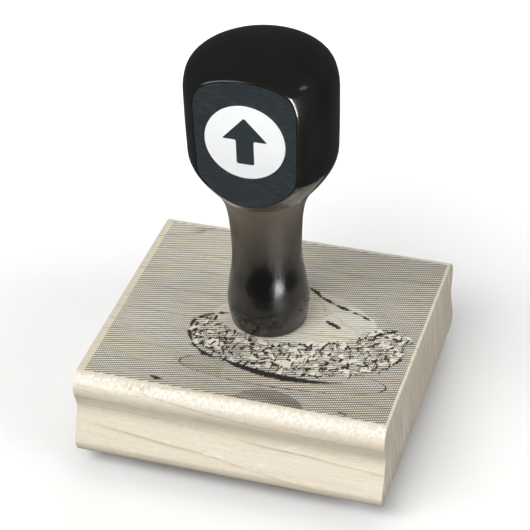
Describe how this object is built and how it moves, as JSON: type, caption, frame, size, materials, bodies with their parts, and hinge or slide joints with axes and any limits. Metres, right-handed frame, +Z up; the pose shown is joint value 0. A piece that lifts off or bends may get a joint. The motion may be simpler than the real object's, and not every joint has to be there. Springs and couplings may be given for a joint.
{
  "type": "wood-mounted rubber stamp",
  "caption": "Hand stamp: engraved rubber die on a foam cushion under a moulded wood block with a printed picture, and a turned black handle with a flat and a round label.",
  "frame": {"origin": "centre of the rubber die's printing face, which is the stamp's lowest plane", "axes": "+Z up along the handle, +X to the right along the block's moulding, -Y to the front, where the handle's flat and its label face"},
  "size_m": [0.0762, 0.0736, 0.1023],
  "materials": {
    "rubber_die": "matte",
    "cushion_tape": "satin",
    "cushion_foam": "matte",
    "block": "satin",
    "index_print": "matte",
    "handle_screw": "satin",
    "handle": "gloss",
    "handle_label": "satin"
  },
  "bodies": {
    "die": {"rubber_die": "rubber_die", "cushion_tape_bottom": "cushion_tape"},
    "mount_block": {"block": "block", "index_print": "index_print", "handle_screw": "handle_screw", "cushion_tape_top": "cushion_tape", "cushion_foam": "cushion_foam"},
    "grip": {"handle": "handle", "handle_label": "handle_label"}
  },
  "joints": [
    {"name": "cushion_press", "type": "slide", "parent": "die", "child": "mount_block", "axis": [0, 0, 1], "range_m": [-0.001, 0], "stiffness_N_per_m": 50000, "deforming": ["cushion_foam"]},
    {"name": "handle_turn", "type": "hinge", "parent": "mount_block", "child": "grip", "pos_m": [0, 0, 0.02693], "axis": [0, 0, 1], "range_deg": [-180, 180]}
  ]
}
